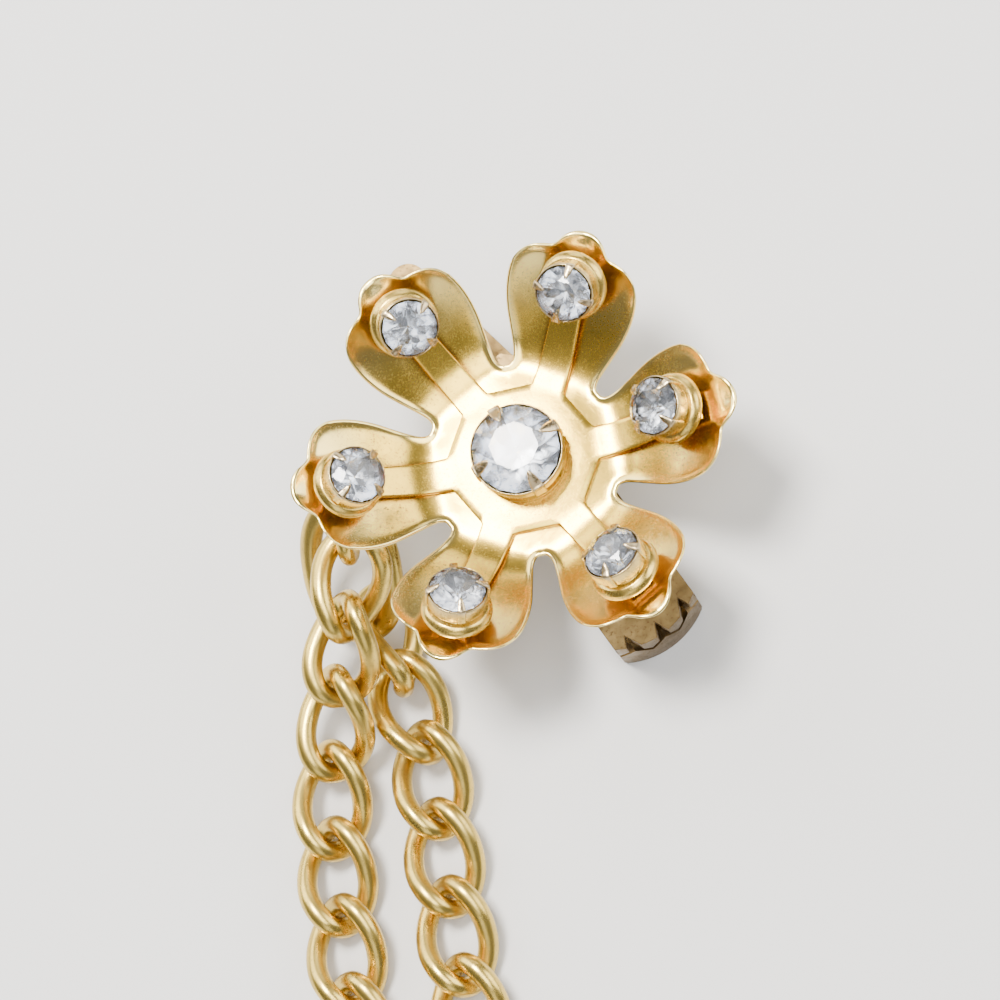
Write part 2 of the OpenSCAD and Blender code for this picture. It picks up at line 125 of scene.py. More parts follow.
def new_material(name, **amounts):
    """A material, its tree and its shader, with some of the shader's inputs set."""
    material = bpy.data.materials.new(name)
    material.use_nodes = True
    tree = material.node_tree
    return material, tree, set_inputs(tree, tree.nodes["Principled BSDF"], amounts)


FLOOR_HALF = 900 * MM
FLOOR_DROP = 0.01 * MM
floor_mesh = bpy.data.meshes.new("floor")
floor_mesh.from_pydata(
    [(x * FLOOR_HALF, y * FLOOR_HALF, -FLOOR_DROP)
     for x, y in ((-1, -1), (1, -1), (1, 1), (-1, 1))],
    [], [(0, 1, 2, 3)])
floor_mesh.materials.append(
    new_material("floor_paper", Base_Color=(0.72, 0.71, 0.69), Roughness=0.75)[0])
floor = bpy.data.objects.new("floor", floor_mesh)
bpy.context.scene.collection.objects.link(floor)

# %% Hang the lamps
GLARE_SHIFT = Vector((-0.09, -0.01, 0))
WHITE = (1, 1, 1)
mirrored = Vector((-back.x, -back.y, back.z)) + GLARE_SHIFT
# Name, direction from the flower, distance and size in mm, power in watts, colour
LAMPS = (
    ("main_lamp", mirrored, 480, 130, 5.6, (1.0, 0.97, 0.93)),
    ("left_panel", (-0.9, 0.6, 0.62), 600, 420, 2.9, WHITE),
    ("right_panel", (1.0, 0.35, 0.65), 700, 480, 3.6, WHITE),
    ("far_panel", (0.0, 1.0, 0.4), 650, 360, 1.1, WHITE),
    ("near_panel", (0.1, -1.0, 0.6), 700, 420, 0.8, WHITE),
    ("stone_panel", back, 620, 300, 2.2, (0.95, 0.97, 1.0)),
)
for name, direction, distance, size, power, color in LAMPS:
    data = bpy.data.lights.new(name, "AREA")
    data.size = size * MM
    data.energy = power
    data.color = color
    lamp = bpy.data.objects.new(name, data)
    aim = Vector(direction).normalized()
    lamp.matrix_world = (Matrix.Translation(pivot + aim * distance * MM)
                         @ aim.to_track_quat("Z", "Y").to_matrix().to_4x4())
    bpy.context.scene.collection.objects.link(lamp)

world = bpy.data.worlds.new("studio")
world.use_nodes = True
set_inputs(world.node_tree, world.node_tree.nodes["Background"],
           {"Color": (0.93, 0.95, 1.0), "Strength": 0.22})
bpy.context.scene.world = world

# %% [markdown]
# ## Aged plating
# All the metal here is thin gold plating that has gone brown in its hollows and
# picked up dark specks. That is one effect with different strengths, so it is a
# node group: large soft patches, a speckle, and a fine unevenness for the bump.
# Stamped sheet is never quite flat either, so the bump can also let the flower's
# middle fall away gently towards its edge, which makes the lamp's glare fade.
# The group gives only a colour, a roughness and a height. The metal's shader
# stays in each material.

# %% Build the plating group
def new_tree(tree_kind, name, inputs, outputs):
    """A tree whose inputs and outputs are given as label and kind of socket."""
    tree = bpy.data.node_groups.new(name, tree_kind)
    for way, sockets in (("INPUT", inputs), ("OUTPUT", outputs)):
        for label, kind in sockets:
            tree.interface.new_socket(label, in_out=way, socket_type="NodeSocket" + kind)
    return tree, tree.nodes.new("NodeGroupInput"), tree.nodes.new("NodeGroupOutput")


def node(tree, kind, **values):
    return set_inputs(tree, tree.nodes.new(kind), values)


def noise_node(tree, coordinates, scale, detail, roughness=0.5):
    return node(tree, "ShaderNodeTexNoise", Vector=coordinates, Scale=scale, Detail=detail,
                Roughness=roughness).outputs["Fac"]


def between(tree, value, low, high, out_low=0.0, out_high=1.0):
    """Value mapped so that low gives out_low and high gives out_high, and no further."""
    return node(tree, "ShaderNodeMapRange", Value=value, From_Min=low, From_Max=high,
                To_Min=out_low, To_Max=out_high).outputs["Result"]


def calculate(tree, operation, first, second=0.0):
    made = tree.nodes.new("ShaderNodeMath")
    made.operation = operation
    for socket, value in zip(made.inputs, (first, second)):
        feed(tree, socket, value)
    return made.outputs["Value"]


def times(tree, first, second):
    return calculate(tree, "MULTIPLY", first, second)


def blend_color(tree, share, first, second):
    made = tree.nodes.new("ShaderNodeMix")
    made.data_type = "RGBA"
    sockets = [s for s in made.inputs if s.enabled]
    for socket, value in zip(sockets, (share, first, second)):
        feed(tree, socket, value)
    return next(s for s in made.outputs if s.enabled)


# Values of a noise between which a patch or a speck fades in
PATCH_EDGE = (0.35, 0.7)
SPECK_EDGE = (0.56, 0.72)
# Scales of the bump's noises: small dents, fine grain and wide swells
RIPPLE, GRAIN, SWELL = 900.0, 6000.0, 170.0
GRAIN_SHARE = 0.15
SWELL_SHARE = 0.45
SPECK_SHARE = 0.3
CROWN_REACH = (2.0 * MM, 10.0 * MM)

plating, given, result = new_tree(
    "ShaderNodeTree", "aged_plating",
    [("Bright", "Color"), ("Tarnish", "Color"), ("Speck", "Color"), ("Hollow", "Float"),
     ("Patch Scale", "Float"), ("Speck Scale", "Float"), ("Speckle", "Float"),
     ("Crown", "Float"), ("Polish", "Float"), ("Dullness", "Float")],
    [("Color", "Color"), ("Roughness", "Float"), ("Height", "Float")])
where = plating.nodes.new("ShaderNodeTexCoord").outputs["Object"]
patches = noise_node(plating, where, given.outputs["Patch Scale"], 6.0, 0.66)
patches = between(plating, patches, *PATCH_EDGE)
worn_share = times(plating, patches, given.outputs["Hollow"])
worn_share = calculate(plating, "MINIMUM", worn_share, 1.0)
specks = noise_node(plating, where, given.outputs["Speck Scale"], 2.0, 0.7)
specks = between(plating, specks, *SPECK_EDGE)
specks = times(plating, specks, given.outputs["Speckle"])
specks = times(plating, specks, given.outputs["Hollow"])
aged = blend_color(plating, worn_share, given.outputs["Bright"], given.outputs["Tarnish"])
aged = blend_color(plating, specks, aged, given.outputs["Speck"])
dull = times(plating, worn_share, given.outputs["Dullness"])
dull = calculate(plating, "ADD", dull, given.outputs["Polish"])
marked = times(plating, specks, SPECK_SHARE)
dull = calculate(plating, "ADD", dull, marked)
ripple = noise_node(plating, where, RIPPLE, 3.0)
grain = noise_node(plating, where, GRAIN, 2.0)
height = calculate(plating, "ADD", ripple, times(plating, grain, GRAIN_SHARE))
sides = node(plating, "ShaderNodeSeparateXYZ", Vector=where)
flat_way = node(plating, "ShaderNodeCombineXYZ", X=sides.outputs["X"], Y=sides.outputs["Y"])
away = node(plating, "ShaderNodeVectorMath", Vector=flat_way.outputs["Vector"])
away.operation = "LENGTH"
fall = between(plating, away.outputs["Value"], *CROWN_REACH, 0.0, -1.0)
fall.node.interpolation_type = "SMOOTHSTEP"
swell = noise_node(plating, where, SWELL, 1.0)
crown = calculate(plating, "ADD", fall, times(plating, swell, SWELL_SHARE))
crown = times(plating, crown, given.outputs["Crown"])
height = calculate(plating, "ADD", height, crown)
height = calculate(plating, "SUBTRACT", height, marked)
set_inputs(plating, result, {"Color": aged, "Roughness": dull, "Height": height})
print("group", plating.name, "nodes", len(plating.nodes))


# %% A metal with the plating on it
def mask(tree, name):
    """Value of one of the piece's own attributes, from 0 to 1."""
    made = tree.nodes.new("ShaderNodeAttribute")
    made.attribute_type = "GEOMETRY"
    made.attribute_name = name
    return made.outputs["Fac"]


def plated(name, bright, tarnish, speck=(0.12, 0.07, 0.03), *, bump, **amounts):
    """A metal whose amounts are the plating group's own inputs, with _ for a space."""
    material, tree, shader = new_material(name, Metallic=1.0)
    finish = tree.nodes.new("ShaderNodeGroup")
    finish.node_tree = plating
    set_inputs(tree, finish, {"Bright": bright, "Tarnish": tarnish, "Speck": speck, **amounts})
    relief = node(tree, "ShaderNodeBump", Strength=1.0, Distance=bump * MM,
                  Height=finish.outputs["Height"])
    set_inputs(tree, shader, {"Base Color": finish.outputs["Color"],
                              "Roughness": finish.outputs["Roughness"],
                              "Normal": relief.outputs["Normal"]})
    return material, tree, finish, shader


# %% [markdown]
# ## The metals
# The petals' rims and tips are painted paler than the rest, a painted highlight
# for the light that their edges and tips catch, and the dish is browner with
# tarnish. A dark line of painted shadow runs beside each arm of the star, for the
# shade under the arm's raised edge. So their material reads three attributes that
# the mesh carries, one for each of these. The star has the same plating with other
# strengths, and the chain is a little duller. The clip's plating is nearly gone,
# and its colour is darkened further as painted shade, for the flower's shadow over
# it. The cups have lost their gold on rims and prongs, where one more attribute
# says so.

# %% Mix the metals
GOLD = (0.92, 0.60, 0.08)
PALE_GOLD = (0.78, 0.555, 0.13)
# Paler gold painted on the petals' rims and tips as a painted highlight
RIM_HIGHLIGHT_GOLD = (1.0, 0.84, 0.36)
BROWN = (0.40, 0.255, 0.05)
WORN = (0.50, 0.40, 0.26)
# Dark orange-brown of the painted shadow beside each star arm
ARM_SHADOW = (0.26, 0.11, 0.015)
BRONZE_SPECK = (0.16, 0.11, 0.045)
RIM_HIGHLIGHT_SHARE = 0.7
ARM_SHADOW_SHARE = 0.9
WORN_SHARE = 0.85
CROWN_FALL = 42.0

petal_gold, tree, finish, shader = plated(
    "petal_gold", GOLD, BROWN, BRONZE_SPECK, Patch_Scale=420.0, Speck_Scale=6500.0,
    Speckle=0.9, Polish=0.19, Dullness=0.16, Crown=CROWN_FALL, bump=0.012)
rim = mask(tree, "rim")
dish = mask(tree, "dish")
tree.links.new(times(tree, dish, calculate(tree, "SUBTRACT", 1.0, rim)),
               finish.inputs["Hollow"])
# Painted highlight along the rims and on the tips
highlighted = blend_color(tree, times(tree, rim, RIM_HIGHLIGHT_SHARE), finish.outputs["Color"], RIM_HIGHLIGHT_GOLD)
# A dark line of painted shadow beside each arm of the star
shadow_lined = blend_color(tree, times(tree, mask(tree, "crevice"), ARM_SHADOW_SHARE), highlighted, ARM_SHADOW)
tree.links.new(shadow_lined, shader.inputs["Base Color"])

star_gold = plated("star_gold", GOLD, BROWN, BRONZE_SPECK, Hollow=0.4, Patch_Scale=380.0,
                   Speck_Scale=6500.0, Speckle=0.8, Polish=0.21, Dullness=0.2,
                   Crown=CROWN_FALL, bump=0.012)[0]
chain_gold = plated("chain_gold", PALE_GOLD, (0.43, 0.305, 0.08), Hollow=0.7,
                    Patch_Scale=300.0, Speck_Scale=6000.0, Speckle=0.5, Polish=0.25,
                    Dullness=0.14, bump=0.01)[0]
# The clip's colours are darkened beyond its worn plating as painted shade, for the flower's shadow
# over the clip
clip_gold = plated("clip_gold", (0.22, 0.145, 0.055), (0.08, 0.05, 0.02), Hollow=0.9,
                   Patch_Scale=260.0, Speck_Scale=4500.0, Speckle=0.8, Polish=0.34,
                   Dullness=0.25, bump=0.015)[0]
spring_steel = plated("spring_steel", (0.62, 0.6, 0.56), (0.35, 0.29, 0.22), Hollow=0.6,
                      Patch_Scale=500.0, Speck_Scale=3000.0, Speckle=0.5, Polish=0.28,
                      Dullness=0.2, bump=0.006)[0]
cup_gold, tree, finish, shader = plated(
    "cup_gold", (0.93, 0.65, 0.16), BROWN, Hollow=0.7, Patch_Scale=700.0, Speck_Scale=6000.0,
    Speckle=0.8, Polish=0.2, Dullness=0.2, bump=0.01)
worn_edges = blend_color(tree, times(tree, mask(tree, "worn"), WORN_SHARE),
                         finish.outputs["Color"], WORN)
tree.links.new(worn_edges, shader.inputs["Base Color"])
print("metals", [m.name for m in bpy.data.materials])

# %% [markdown]
# ## Foil-backed glass
# Each stone is glass with a silver foil behind its pavilion, which is what makes
# such a stone flash. The crown gets clear glass, and the back facets are a
# mirror inside the same closed mesh: light goes in through the crown, meets the
# foil and comes out again. The foil has aged to grey near the girdle.

# %% Make the glass and the foil
CLEAR, CLOUDED = (0.99, 0.995, 1.0), (0.93, 0.96, 1.0)
FOIL, GREY_FOIL = (0.96, 0.975, 1.0), (0.42, 0.43, 0.46)
CLOUD_SCALE, SCUFF_SCALE, SPOT_SCALE = 600.0, 2500.0, 900.0
SCUFF_EDGE = (0.5, 0.8)
SPOT_EDGE = (0.5, 0.68)
SPOT_SHARE = 0.5
# Roughness where the thing is clean and where it is scuffed or grey
GLASS_ROUGHNESS = (0.01, 0.09)
FOIL_ROUGHNESS = (0.16, 0.34)

crystal_glass, tree, shader = new_material("crystal_glass", Transmission_Weight=1.0, IOR=1.58)
where = tree.nodes.new("ShaderNodeTexCoord").outputs["Object"]
cloud = between(tree, noise_node(tree, where, CLOUD_SCALE, 3.0), *PATCH_EDGE)
tree.links.new(blend_color(tree, cloud, CLEAR, CLOUDED), shader.inputs["Base Color"])
scuffs = noise_node(tree, where, SCUFF_SCALE, 2.0)
tree.links.new(between(tree, scuffs, *SCUFF_EDGE, *GLASS_ROUGHNESS), shader.inputs["Roughness"])

silver_foil, tree, shader = new_material("silver_foil", Metallic=1.0)
where = tree.nodes.new("ShaderNodeTexCoord").outputs["Object"]
spots = between(tree, noise_node(tree, where, SPOT_SCALE, 4.0, 0.7), *SPOT_EDGE)
greyed = calculate(tree, "MAXIMUM", mask(tree, "girdle"), times(tree, spots, SPOT_SHARE))
tree.links.new(blend_color(tree, greyed, FOIL, GREY_FOIL), shader.inputs["Base Color"])
tree.links.new(between(tree, spots, 0.0, 1.0, *FOIL_ROUGHNESS), shader.inputs["Roughness"])

# %% [markdown]
# ## Making and dressing pieces
# Most pieces are a mesh that a Geometry Nodes tree repeats or sweeps. Small
# helpers do this every time: one builds a tree with named inputs, two make the
# nodes that turn copies round and sweep a wire, and one runs a tree and keeps
# only the plain mesh that comes out.

# %% Helpers for meshes and trees
def linked(name, mesh):
    piece = bpy.data.objects.new(name, mesh)
    bpy.context.scene.collection.objects.link(piece)
    return piece


def new_mesh(name, points, faces, edges=()):
    mesh = bpy.data.meshes.new(name)
    mesh.from_pydata([tuple(p) for p in points], list(edges), faces)
    mesh.update()
    return mesh


def grid_faces(rows, columns):
    """Faces of a grid whose points are listed row by row."""
    return [(r * columns + c, (r + 1) * columns + c, (r + 1) * columns + c + 1,
             r * columns + c + 1) for r in range(rows - 1) for c in range(columns - 1)]


def keep_values(mesh, name, values):
    """Stores one number per point, which a material reads by that name."""
    attribute = mesh.attributes.new(name, "FLOAT", "POINT")
    attribute.data.foreach_set("value", np.asarray(values, np.float32))


def geometry_tree(name, sizes):
    """A Geometry Nodes tree with a mesh in, a mesh out and the named inputs in between."""
    mesh = ("Mesh", "Geometry")
    return new_tree("GeometryNodeTree", name, [mesh, *sizes], [mesh])


def turned_copies(tree, given, instance):
    """Copies round the upright axis, as many as Count says, from First Turn on."""
    spots = node(tree, "GeometryNodePoints", Count=given.outputs["Count"])
    number = tree.nodes.new("GeometryNodeInputIndex").outputs["Index"]
    step = calculate(tree, "DIVIDE", 2 * math.pi, given.outputs["Count"])
    turn = calculate(tree, "ADD", given.outputs["First Turn"], times(tree, number, step))
    angles = node(tree, "ShaderNodeCombineXYZ", Z=turn)
    turned = node(tree, "FunctionNodeEulerToRotation", Euler=angles.outputs["Vector"])
    copies = node(tree, "GeometryNodeInstanceOnPoints", Points=spots.outputs["Points"],
                  Instance=instance, Rotation=turned.outputs["Rotation"])
    return copies.outputs["Instances"]


def swept_wire(tree, given, curve, **more):
    """A round wire along a curve, with as many Sides as asked for."""
    section = node(tree, "GeometryNodeCurvePrimitiveCircle", Resolution=given.outputs["Sides"],
                   Radius=given.outputs["Wire Radius"])
    wire = node(tree, "GeometryNodeCurveToMesh", Curve=curve,
                Profile_Curve=section.outputs["Curve"], **more)
    return wire.outputs["Mesh"]


def finished(tree, given, result, geometry):
    """Ends a tree: real geometry, shaded smooth, in the material that was asked for."""
    real = node(tree, "GeometryNodeRealizeInstances", Geometry=geometry)
    smooth = node(tree, "GeometryNodeSetShadeSmooth", Geometry=real.outputs["Geometry"])
    dressed = node(tree, "GeometryNodeSetMaterial", Geometry=smooth.outputs["Geometry"],
                   Material=given.outputs["Material"])
    tree.links.new(dressed.outputs["Geometry"], result.inputs["Mesh"])


def run_tree(piece, tree, values, then=()):
    """Runs the tree on the piece, then the named modifiers, and keeps the plain result."""
    modifier = piece.modifiers.new(tree.name, "NODES")
    modifier.node_group = tree
    for item in tree.interface.items_tree:
        if item.in_out == "INPUT" and item.name in values:
            modifier[item.identifier] = values[item.name]
    return applied(piece, then)


def applied(piece, then=()):
    """Adds modifiers given as (kind, settings) and replaces the mesh by what they make."""
    for kind, settings in then:
        modifier = piece.modifiers.new(kind.lower(), kind)
        for label, value in settings.items():
            setattr(modifier, label, value)
    bpy.context.view_layer.update()
    evaluated = piece.evaluated_get(bpy.context.evaluated_depsgraph_get())
    mesh = bpy.data.meshes.new_from_object(evaluated)
    piece.modifiers.clear()
    piece.data = mesh
    mesh.name = piece.name
    return piece


def worn_round(width, segments=2, angle=28):
    return ("BEVEL", {"width": width, "segments": segments, "limit_method": "ANGLE",
                      "angle_limit": math.radians(angle), "use_clamp_overlap": True})


EVEN_SHADING = ("WEIGHTED_NORMAL", {"keep_sharp": True, "weight": 60})


def dress(piece, body, slot, *nodes):
    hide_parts(*nodes)
    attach(piece, body)
    print(piece.name, "faces", len(piece.data.polygons), "for", len(nodes), "node(s)")
    return piece


# %% [markdown]
# ## The petals
# The flower is one stamping. Each petal leaves a flat middle, dips into a dish
# with raised sides, and ends in a small round tongue between two shoulders. A
# short table gives the petal's middle line, half width, height and the lift of
# its rims at each station, and a smooth curve through the rows fills it in. One
# petal is made as a grid of points, with its slice of the flat middle. The grid
# is both the upper and the lower face of the sheet, and the two curve towards
# each other at the edge, so the rim is round. A tree turns copies of the petal
# round the middle and welds them.

# %% Stations of one petal
# Distance from the middle, half width, height and rim lift, in millimetres
PETAL_STATIONS = (
    (5.89, 3.40, 0.00, 0.00),
    (6.04, 3.17, 0.00, 0.00),
    (6.35, 3.08, 0.05, 0.02),
    (6.79, 3.13, 0.16, 0.05),
    (7.50, 3.40, 0.41, 0.12),
    (8.40, 3.80, 0.90, 0.25),
    (9.39, 4.23, 1.53, 0.42),
    (10.40, 4.51, 2.15, 0.60),
    (11.31, 4.60, 2.73, 0.75),
    (12.10, 4.51, 3.25, 0.85),
    (12.70, 4.23, 3.65, 0.85),
    (13.16, 3.82, 3.95, 0.80),
    (13.49, 3.29, 4.20, 0.70),
    (13.75, 2.62, 4.37, 0.51),
    (13.91, 2.02, 4.47, 0.36),
    (14.15, 1.75, 4.62, 0.30),
    (14.60, 1.43, 4.85, 0.26),
    (14.99, 0.97, 5.00, 0.19),
    (15.22, 0.51, 5.07, 0.09),
    (15.30, 0.14, 5.09, 0.00),
)
PETAL_COUNT = 6
FIRST_PETAL_TURN = math.radians(11.5)
# Rows of the flat middle as shares of the way out, closest where the petals part
HUB_ROWS = (0.0, 0.3, 0.55, 0.75, 0.84, 0.9, 0.93, 0.95, 0.965, 0.98, 0.99)
STATION_STEPS = 4
ACROSS = 48
SHOULDER_ROW = 9
TIP_ROWS = 16
SHEET = 0.46
LIP_HEIGHT = 0.16
LIP_WIDTH = 0.34
EDGE_ROUND = 0.18
# The fold at a petal's root is rounded, and less and less between two distances
FOLD_ROUND = 0.5
FOLD_REACH = 1.5
FOLD_ENDS = (7.5, 9.0)
FINE = 0.05
# Width of the rim's painted highlight, and the greatest share of the tip's painted highlight
RIM_HIGHLIGHT_WIDTH = 0.4
TIP_HIGHLIGHT_SHARE = 0.95
# Distances from the middle, and how strong the painted highlight on the tip and how brown the
# dish's tarnish are at each
TIP_HIGHLIGHT = ((9.5, 12.5, 14.6), (0, 0.75, 1))
BROWN_DISH = ((6.0, 8.0, 9.5, 12.0, 13.8, 15.3), (0.12, 0.55, 1.0, 0.85, 0.4, 0.2))
# Half width of the star's arm on a petal, and the dark line of painted shadow beside it, for the
# shade under the arm's raised edge
ARM_ROOT = 1.15
ARM_END = 0.95
ARM_RUN = (5.4, 12.5)
LINE_OUT = 0.08
LINE_WIDTH = 0.2
LINE_FADE = ((6.0, 7.4, 12.0, 12.6), (0, 1, 1, 0))


def through(rows, steps):
    """Points of a smooth curve through the rows, steps to each stretch."""
    rows = np.array(rows, float)
    ends = np.vstack([2 * rows[0] - rows[1], rows, 2 * rows[-1] - rows[-2]])
    made = []
    for a, b, c, d in zip(ends, ends[1:], ends[2:], ends[3:]):
        for t in np.arange(steps) / steps:
            made.append(0.5 * (2 * b + (c - a) * t + (2 * a - 5 * b + 4 * c - d) * t ** 2
                               + (3 * b - a - 3 * c + d) * t ** 3))
    return np.array(made + [rows[-1]])


def edge_distance(points, outline):
    """Distance of each point from a line of points, seen from above."""
    start, end = outline[:-1], outline[1:]
    along = end - start
    nearest = np.full(len(points), np.inf)
    for a, step in zip(start, along):
        share = np.clip((points - a) @ step / max(step @ step, 1e-12), 0, 1)
        nearest = np.minimum(nearest, np.linalg.norm(points - a - share[:, None] * step, axis=1))
    return nearest


# %% Lay out one petal
stations = through(PETAL_STATIONS, STATION_STEPS)
shoulder = STATION_STEPS * SHOULDER_ROW
# Columns lie a little closer together towards the rims
even = np.linspace(-1, 1, ACROSS + 1)
spread = 0.6 * even + 0.4 * np.sin(even * math.pi / 2)


def straight_row(out, half):
    return np.column_stack([np.full(ACROSS + 1, out), spread * half])


def tip_outline():
    """Shoulders and tongue in one line round the petal's end, a point for each column."""
    side = stations[shoulder:, :2]
    whole = np.vstack([side * (1, -1), side[::-1]])
    length = np.append(0, np.cumsum(np.linalg.norm(np.diff(whole, axis=0), axis=1)))
    places = (spread + 1) / 2 * length[-1]
    return np.column_stack([np.interp(places, length, whole[:, i]) for i in (0, 1)])


fine_outs = np.arange(0, 18, FINE)
reach = np.arange(-FOLD_REACH, FOLD_REACH + 0.01, FINE)
softening = np.exp(-(reach / FOLD_ROUND) ** 2)
fine_rise = np.interp(fine_outs, stations[:, 0], stations[:, 2], left=0)
soft_rise = np.convolve(fine_rise, softening / softening.sum(), "same")
soft_share = np.interp(fine_outs, FOLD_ENDS, (1, 0))
soft_rise = soft_share * soft_rise + (1 - soft_share) * fine_rise


def middle_height(out):
    """Height of a petal's middle line, with the fold at its root rounded."""
    return np.interp(out, fine_outs, soft_rise)


def dish_height(place):
    out = place[..., 0]
    half, lift = (np.interp(out, stations[:, 0], stations[:, i]) for i in (1, 3))
    return middle_height(out) + lift * np.clip(place[..., 1] / half, -1, 1) ** 2


flat_rows = [share * straight_row(*stations[0, :2]) for share in HUB_ROWS]
side_rows = [straight_row(out, half) for out, half in stations[:shoulder + 1, :2]]
last, tip = side_rows[-1], tip_outline()
tip_rows = [last + (tip - last) * row / TIP_ROWS for row in range(1, TIP_ROWS + 1)]
grid = np.array(flat_rows + side_rows + tip_rows)
rows, columns = grid.shape[:2]
sides = grid[len(HUB_ROWS):len(HUB_ROWS) + shoulder + 1]
outline = np.vstack([sides[:, 0], tip, sides[::-1, -1]])
flat_points = grid.reshape(-1, 2)
from_edge = edge_distance(flat_points, outline)
height = dish_height(flat_points) + LIP_HEIGHT * np.exp(-(from_edge / LIP_WIDTH) ** 2)
fall = EDGE_ROUND * (1 - np.sqrt(1 - np.clip(1 - from_edge / EDGE_ROUND, 0, 1) ** 2))
points = np.vstack([np.column_stack([flat_points, height - fall]),
                    np.column_stack([flat_points, height - SHEET + fall])])
upper = grid_faces(rows, columns)
below = len(flat_points)
lower = [tuple(i + below for i in face[::-1]) for face in upper]
round_rim = ([r * columns for r in range(len(HUB_ROWS), rows)]
             + [(rows - 1) * columns + c for c in range(1, columns)]
             + [(r + 1) * columns - 1 for r in range(rows - 2, len(HUB_ROWS) - 1, -1)])
wall = [(a + below, b + below, b, a) for a, b in zip(round_rim, round_rim[1:])]
petal_mesh = new_mesh("flower", points * MM, upper + lower + wall)
out, side = flat_points.T
# Painted highlight: strongest at the rim's edge, and growing towards the tip
painted_highlight = np.maximum(np.exp(-(from_edge / RIM_HIGHLIGHT_WIDTH) ** 2), np.interp(out, *TIP_HIGHLIGHT) * TIP_HIGHLIGHT_SHARE)
keep_values(petal_mesh, "rim", np.tile(painted_highlight, 2))
# Painted shadow: a line just beside each arm of the star, fading in and out along it
from_arm = np.abs(side) - np.interp(out, ARM_RUN, (ARM_ROOT, ARM_END))
shadow_line = np.exp(-((from_arm - LINE_OUT) / LINE_WIDTH) ** 2) * np.interp(out, *LINE_FADE)
# The painted shadow line is on the upper face alone
keep_values(petal_mesh, "crevice", np.append(shadow_line, 0 * shadow_line))
keep_values(petal_mesh, "dish", np.tile(np.interp(out, *BROWN_DISH), 2))
print("one petal", len(points), "points")

# %% A tree that repeats a mesh round the upright axis
ring_tree, given, result = geometry_tree(
    "repeat_round", [("Count", "Int"), ("First Turn", "Float"), ("Weld", "Float"),
                     ("Material", "Material")])
copies = turned_copies(ring_tree, given, given.outputs["Mesh"])
real = node(ring_tree, "GeometryNodeRealizeInstances", Geometry=copies)
welded = node(ring_tree, "GeometryNodeMergeByDistance", Geometry=real.outputs["Geometry"],
              Distance=given.outputs["Weld"])
finished(ring_tree, given, result, welded.outputs["Geometry"])

# %% Press the flower
SIX_ROUND = {"Count": PETAL_COUNT, "First Turn": FIRST_PETAL_TURN, "Weld": 0.004 * MM}
PRESS_HEIGHT = 0.05 * MM
PRESS_SIZE = 3.5 * MM
PRESS_SHIFT = Vector((3.1, 7.7, 0.4))
flower = run_tree(linked("flower", petal_mesh), ring_tree, {**SIX_ROUND, "Material": petal_gold})
for vertex in flower.data.vertices:
    uneven = noise.noise(vertex.co / PRESS_SIZE + PRESS_SHIFT)
    vertex.co.z += FLOWER_TOP + PRESS_HEIGHT * uneven
dress(flower, "flower", "gold_plate", "petals")

# %% [markdown]
# ## The star
# The star lies flat on the middle of the flower, and its six arms run up the
# petals and stand a little clear of them. It is made in the same way: one sixth
# of the flat middle with one arm, as rows of points, turned round six times.

# %% Lay out one arm of the star
STAR_TOP = 0.51
STAR_SHEET = 0.45
STAR_EDGE = 0.1
STAR_SUNK = 0.06 * MM
STAR_MIDDLE = 5.0
HUB_SHARES = (0.0, 0.3, 0.55, 0.75, 0.9, 1.0)
ARM_TIP = 12.55
ARM_STATIONS = 40
ARM_COLUMNS = 8
SIDE_COLUMNS = 5
# Distances from the middle, and an arm's gap over the petal and its sheet at each
ARM_LIFT = ((5.0, 6.2, ARM_TIP), (0.06, 0.12, 0.45))
ARM_SHEET = ((5.0, 8.8), (STAR_SHEET, 1.15 * STAR_SHEET))
slant = math.pi / PETAL_COUNT
corner_out = (STAR_MIDDLE - ARM_ROOT * math.sin(slant)) / math.cos(slant)
edge_middle = np.array((STAR_MIDDLE * math.cos(slant), STAR_MIDDLE * math.sin(slant)))

across_arm = np.linspace(-ARM_ROOT, ARM_ROOT, ARM_COLUMNS + 1)
beside_arm = np.linspace(0, 1, SIDE_COLUMNS + 1)[:-1, None]
far_side = edge_middle + beside_arm * (np.array((corner_out, ARM_ROOT)) - edge_middle)
arm_root = np.column_stack([np.full(ARM_COLUMNS + 1, corner_out), across_arm])
root_line = np.vstack([far_side * (1, -1), arm_root, far_side[::-1]])
hub_points = np.vstack([share * root_line for share in HUB_SHARES])
arm_rows = []
for out in np.linspace(corner_out, ARM_TIP, ARM_STATIONS)[1:]:
    half = np.interp(out, (corner_out, ARM_TIP), (ARM_ROOT, ARM_END))
    arm_rows.append(np.column_stack([np.full(ARM_COLUMNS + 1, out),
                                     across_arm / ARM_ROOT * half]))
star_flat = np.vstack([hub_points, *arm_rows])
# The arm's first row is the middle of the hub's last one
width = len(root_line)
row_starts = [(len(HUB_SHARES) - 1) * width + SIDE_COLUMNS]
row_starts += [len(hub_points) + i * (ARM_COLUMNS + 1) for i in range(len(arm_rows))]
star_faces = grid_faces(len(HUB_SHARES), width)
star_faces += [(a + c, b + c, b + c + 1, a + c + 1)
               for a, b in zip(row_starts, row_starts[1:]) for c in range(ARM_COLUMNS)]
arm_out = star_flat[len(hub_points):, 0]
arm_height = middle_height(arm_out) + np.interp(arm_out, *ARM_LIFT) + np.interp(arm_out, *ARM_SHEET)
star_height = np.full(len(star_flat), STAR_TOP)
star_height[len(hub_points):] = np.maximum(arm_height, STAR_TOP)

